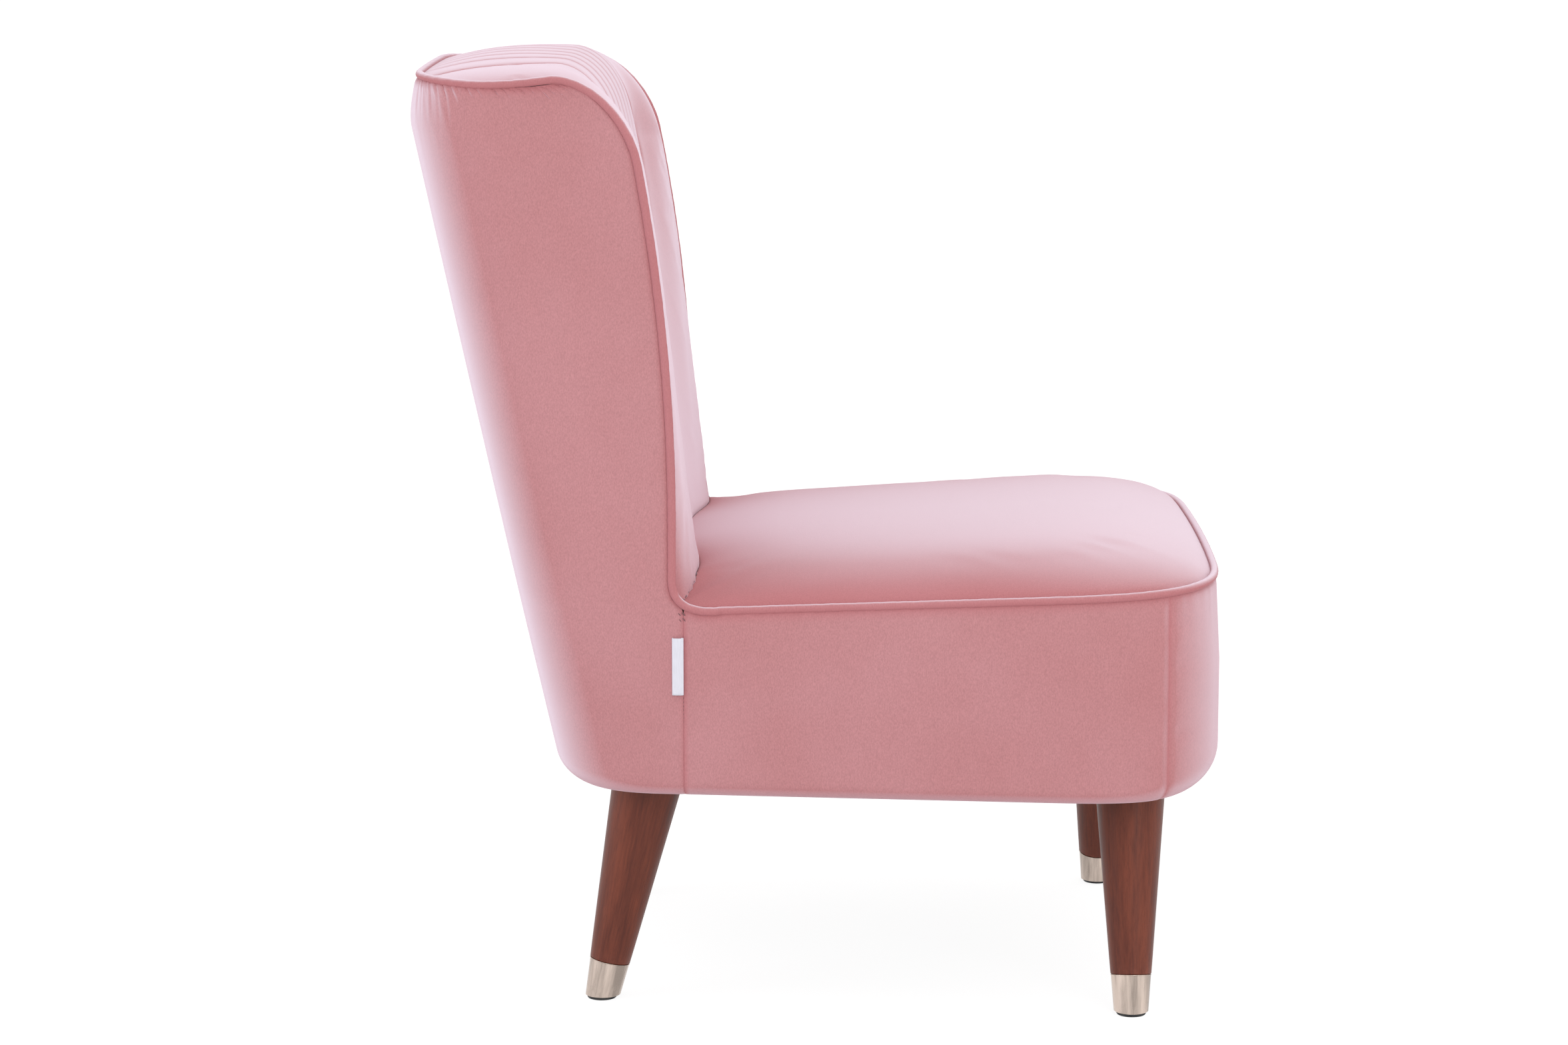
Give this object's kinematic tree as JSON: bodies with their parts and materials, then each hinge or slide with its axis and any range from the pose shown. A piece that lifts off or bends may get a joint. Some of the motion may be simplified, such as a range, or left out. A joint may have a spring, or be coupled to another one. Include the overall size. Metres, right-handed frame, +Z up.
{
  "type": "slipper chair",
  "caption": "Armless upholstered slipper chair: raked wedge back with a fan of sewn pleats, crowned tight seat, splayed round wooden legs with metal ferrules.",
  "frame": {"origin": "middle of the chair's outer box, on the floor", "axes": "+Z up, -Y the way the sitter faces, +X to the sitter's left"},
  "size_m": [0.5856, 0.711, 0.834],
  "materials": {
    "velvet": "matte",
    "foam": "matte",
    "lining": "matte",
    "felt": "matte",
    "frame_wood": "matte",
    "leg_wood": "satin",
    "ferrule": "satin",
    "steel": "satin",
    "glide": "matte",
    "satin": "satin"
  },
  "bodies": {
    "root": {"back_foam": "foam", "back_low_rail": "frame_wood", "back_post_left": "frame_wood", "back_post_right": "frame_wood", "back_stretcher_left": "frame_wood", "back_stretcher_right": "frame_wood", "back_top_rail": "frame_wood", "back_upright_left": "frame_wood", "back_upright_right": "frame_wood", "back_web_1": "lining", "back_web_2": "lining", "back_web_3": "lining", "corner_block_front_left": "frame_wood", "corner_block_front_right": "frame_wood", "corner_block_rear_left": "frame_wood", "corner_block_rear_right": "frame_wood", "deck_pad": "felt", "dust_cover": "lining", "ferrule_front_left": "ferrule", "ferrule_front_right": "ferrule", "ferrule_rear_left": "ferrule", "ferrule_rear_right": "ferrule", "front_border": "velvet", "glide_front_left": "glide", "glide_front_right": "glide", "glide_rear_left": "glide", "glide_rear_right": "glide", "hanger_bolt_front_left": "steel", "hanger_bolt_front_right": "steel", "hanger_bolt_rear_left": "steel", "hanger_bolt_rear_right": "steel", "inside_back_cover": "velvet", "label": "satin", "leg_front_left": "leg_wood", "leg_front_right": "leg_wood", "leg_rear_left": "leg_wood", "leg_rear_right": "leg_wood", "outside_back_cover": "velvet", "outside_back_padding": "foam", "seat_cover": "velvet", "seat_foam": "foam", "seat_front_rail": "frame_wood", "seat_rear_rail": "frame_wood", "seat_side_rail_left": "frame_wood", "seat_side_rail_right": "frame_wood", "seat_spring_1": "steel", "seat_spring_2": "steel", "seat_spring_3": "steel", "seat_spring_4": "steel", "seat_wrap_padding": "foam", "side_border_left": "velvet", "side_border_right": "velvet", "spring_strip_front": "steel", "spring_strip_rear": "steel", "tee_nut_front_left": "steel", "tee_nut_front_right": "steel", "tee_nut_rear_left": "steel", "tee_nut_rear_right": "steel", "welt": "velvet"}
  },
  "joints": []
}
